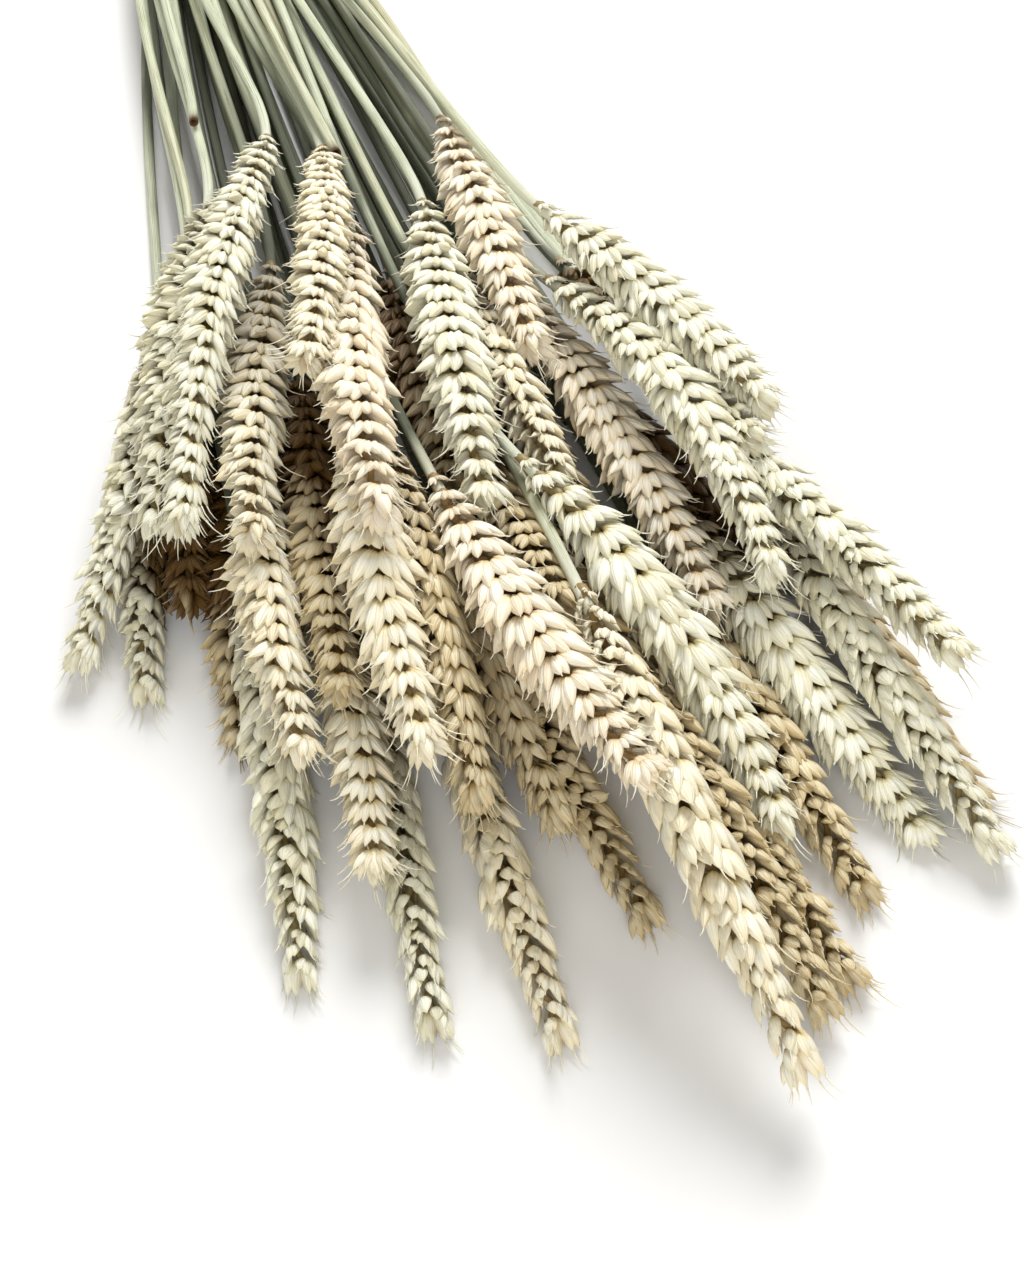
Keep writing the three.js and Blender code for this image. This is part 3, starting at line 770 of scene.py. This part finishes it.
def raffia_material():
    """Dry palm leaf: tan, matt, with fine fibres along the strand."""
    material, surface, links, put, math_of, mark, ramp = shader("dry_raffia")[:7]
    place = put("CombineXYZ", {"X": math_of("MULTIPLY", mark("around"), 9.0),
                               "Y": math_of("MULTIPLY", mark("along"), 0.05),
                               "Z": math_of("MULTIPLY", mark("tint"), 30.0)}).outputs[0]
    fibres = put("TexNoise", {"Vector": place, "Scale": 2.2, "Detail": 6.0,
                              "Roughness": 0.65}).outputs[0]
    colour = ramp(fibres, (0.25, (0.20, 0.10, 0.035)), (0.45, (0.47, 0.30, 0.13)),
                  (0.60, (0.60, 0.43, 0.22)), (0.78, (0.72, 0.58, 0.36)))
    links.new(colour, surface.inputs["Base Color"])
    links.new(math_of("ADD", math_of("MULTIPLY", fibres, 0.3), 0.42), surface.inputs["Roughness"])
    bump = put("Bump", {"Height": fibres, "Strength": 0.6, "Distance": 0.0004})
    links.new(bump.outputs[0], surface.inputs["Normal"])
    surface.inputs["Specular IOR Level"].default_value = 0.35
    return material


chance = np.random.default_rng(77)
band = frame["nodes"]["raffia_tie"].data
band_corners = np.empty(len(band.vertices) * 3, np.float32)
band.vertices.foreach_get("co", band_corners)
band_corners = band_corners.reshape(-1, 3) * 1000.0
front, back_edge = band_corners[:, 1].min(), band_corners[:, 1].max()
loop = outer_loop(np.round(band_corners[:, [0, 2]].astype(float), 3))
loop = np.vstack([loop, loop[:1]])
loop_run = np.concatenate([[0], np.cumsum(np.linalg.norm(np.diff(loop, axis=0), axis=1))])
middle = loop[:-1].mean(axis=0)
winding = Skins()
for turn in range(RAFFIA_TURNS):
    start = chance.uniform(0, loop_run[-1])
    at = (start + np.linspace(0, loop_run[-1] * TURN_LENGTH, TURN_POINTS)) % loop_run[-1]
    flat = np.column_stack([np.interp(at, loop_run, loop[:, k]) for k in (0, 1)])
    outward = unit(flat - middle)
    under = 0.45 + 0.5 * (turn % 2) + 0.2 * np.sin(at / 9 + turn)
    share = np.linspace(0, 1, TURN_POINTS)
    under = under + 0.5 * np.clip(1 - share * 12, 0, 1) + 0.5 * np.clip(share * 12 - 11, 0, 1)
    flat = flat - outward * under[:, None]
    lane = front + 1.5 + (back_edge - front - 3.0) * (turn / (RAFFIA_TURNS - 1))
    slant = 1.3 * np.sin(at / loop_run[-1] * 2 * np.pi + turn * 1.7)
    path = np.column_stack([flat[:, 0], lane + slant, np.maximum(flat[:, 1], 0.35)])
    raffia_strand(winding, path, np.column_stack([outward[:, 0], 0 * slant, outward[:, 1]]), chance)

# The knot: two ends crossed on top of the winding, and the small loop that holds them.
top = np.array([loop[np.argmax(loop[:, 1]), 0] * 0.3 + middle[0] * 0.7,
                (front + back_edge) / 2, loop[:, 1].max()])
for slope, lift in ((-0.5, 0.3), (0.45, 0.7)):
    t = np.linspace(-1, 1, 40)
    path = np.column_stack([top[0] + slope * t * 7.0, top[1] + t * 7.6,
                            top[2] + lift - 3.4 * np.abs(t)**5])
    raffia_strand(winding, path, np.column_stack([0 * t, 0.9 * t**3, 1 + 0 * t]), chance)
t = np.linspace(0, 1, 60)
path = np.column_stack([top[0] + 2.3 * np.cos(2 * np.pi * t),
                        top[1] + 0.8 * np.sin(4 * np.pi * t) + 0.6 * t,
                        top[2] + 0.45 + 1.0 * np.sin(2 * np.pi * t)])
outward = np.column_stack([np.cos(2 * np.pi * t), 0 * t, np.sin(2 * np.pi * t)])
raffia_strand(winding, path, outward, chance)
winding.piece("raffia_winding", raffia_material(), "raffia", "raffia_tie")

# ---------------------------------------------------------------------------------------------
# Floor, light and camera. A plain pale studio table, lit softly from behind the stems with a
# weaker fill in front, and seen from above the ears.
# ---------------------------------------------------------------------------------------------
CAMERA_FROM_TIE = (-0.0753, -0.5861, 0.344)    # m
CAMERA_AZIMUTH = math.radians(-16.7)
CAMERA_ELEVATION = math.radians(50)
FLOOR_SIZE = 6.0           # m
FLOOR_WHITE = (0.83, 0.83, 0.83, 1)
ROOM_LIGHT = (1.0, 0.965, 0.90, 1)
ROOM_STRENGTH = 0.42
LIT_MIDDLE = (0.0, -0.1, 0.0)

tie = frame["record"]["mounts"][0]["pos_m"]
camera = bpy.data.objects.new("camera", bpy.data.cameras.new("camera"))
bpy.context.scene.collection.objects.link(camera)
bpy.context.scene.camera = camera
camera.data.lens = 60.0
camera.data.sensor_width = 36.0
camera.data.clip_start = 0.05
camera.data.clip_end = 30
camera.location = (tie[0] + CAMERA_FROM_TIE[0], tie[1] + CAMERA_FROM_TIE[1], CAMERA_FROM_TIE[2])
camera.rotation_euler = (math.pi / 2 - CAMERA_ELEVATION, 0, CAMERA_AZIMUTH)

half_floor = FLOOR_SIZE / 2
floor_mesh = bpy.data.meshes.new("floor")
floor_mesh.from_pydata([(-half_floor, -half_floor, 0), (half_floor, -half_floor, 0),
                        (half_floor, half_floor, 0), (-half_floor, half_floor, 0)], [], [(0, 1, 2, 3)])
floor = bpy.data.objects.new("floor", floor_mesh)
bpy.context.scene.collection.objects.link(floor)
paper, paper_surface = shader("white_paper")[:2]
paper_surface.inputs["Base Color"].default_value = FLOOR_WHITE
paper_surface.inputs["Roughness"].default_value = 0.9
paper_surface.inputs["Specular IOR Level"].default_value = 0.1
floor_mesh.materials.append(paper)

world = bpy.data.worlds.new("studio")
bpy.context.scene.world = world
world.use_nodes = True
world.node_tree.nodes["Background"].inputs["Color"].default_value = ROOM_LIGHT
world.node_tree.nodes["Background"].inputs["Strength"].default_value = ROOM_STRENGTH


def softbox(name, place, aim, size, power):
    """A round soft light, its place and size in metres and its power in watts."""
    lamp = bpy.data.objects.new(name, bpy.data.lights.new(name, "AREA"))
    bpy.context.scene.collection.objects.link(lamp)
    lamp.data.shape = "DISK"
    lamp.data.size = size
    lamp.data.energy = power
    lamp.location = place
    lamp.rotation_euler = (Vector(aim) - Vector(place)).to_track_quat("-Z", "Y").to_euler()


softbox("key", (0.45, 0.95, 1.1), LIT_MIDDLE, size=0.9, power=29)
softbox("front_fill", (-0.35, -1.3, 0.6), LIT_MIDDLE, size=1.0, power=12)

bpy.context.scene.view_settings.view_transform = "Standard"
bpy.context.scene.view_settings.exposure = 0.0
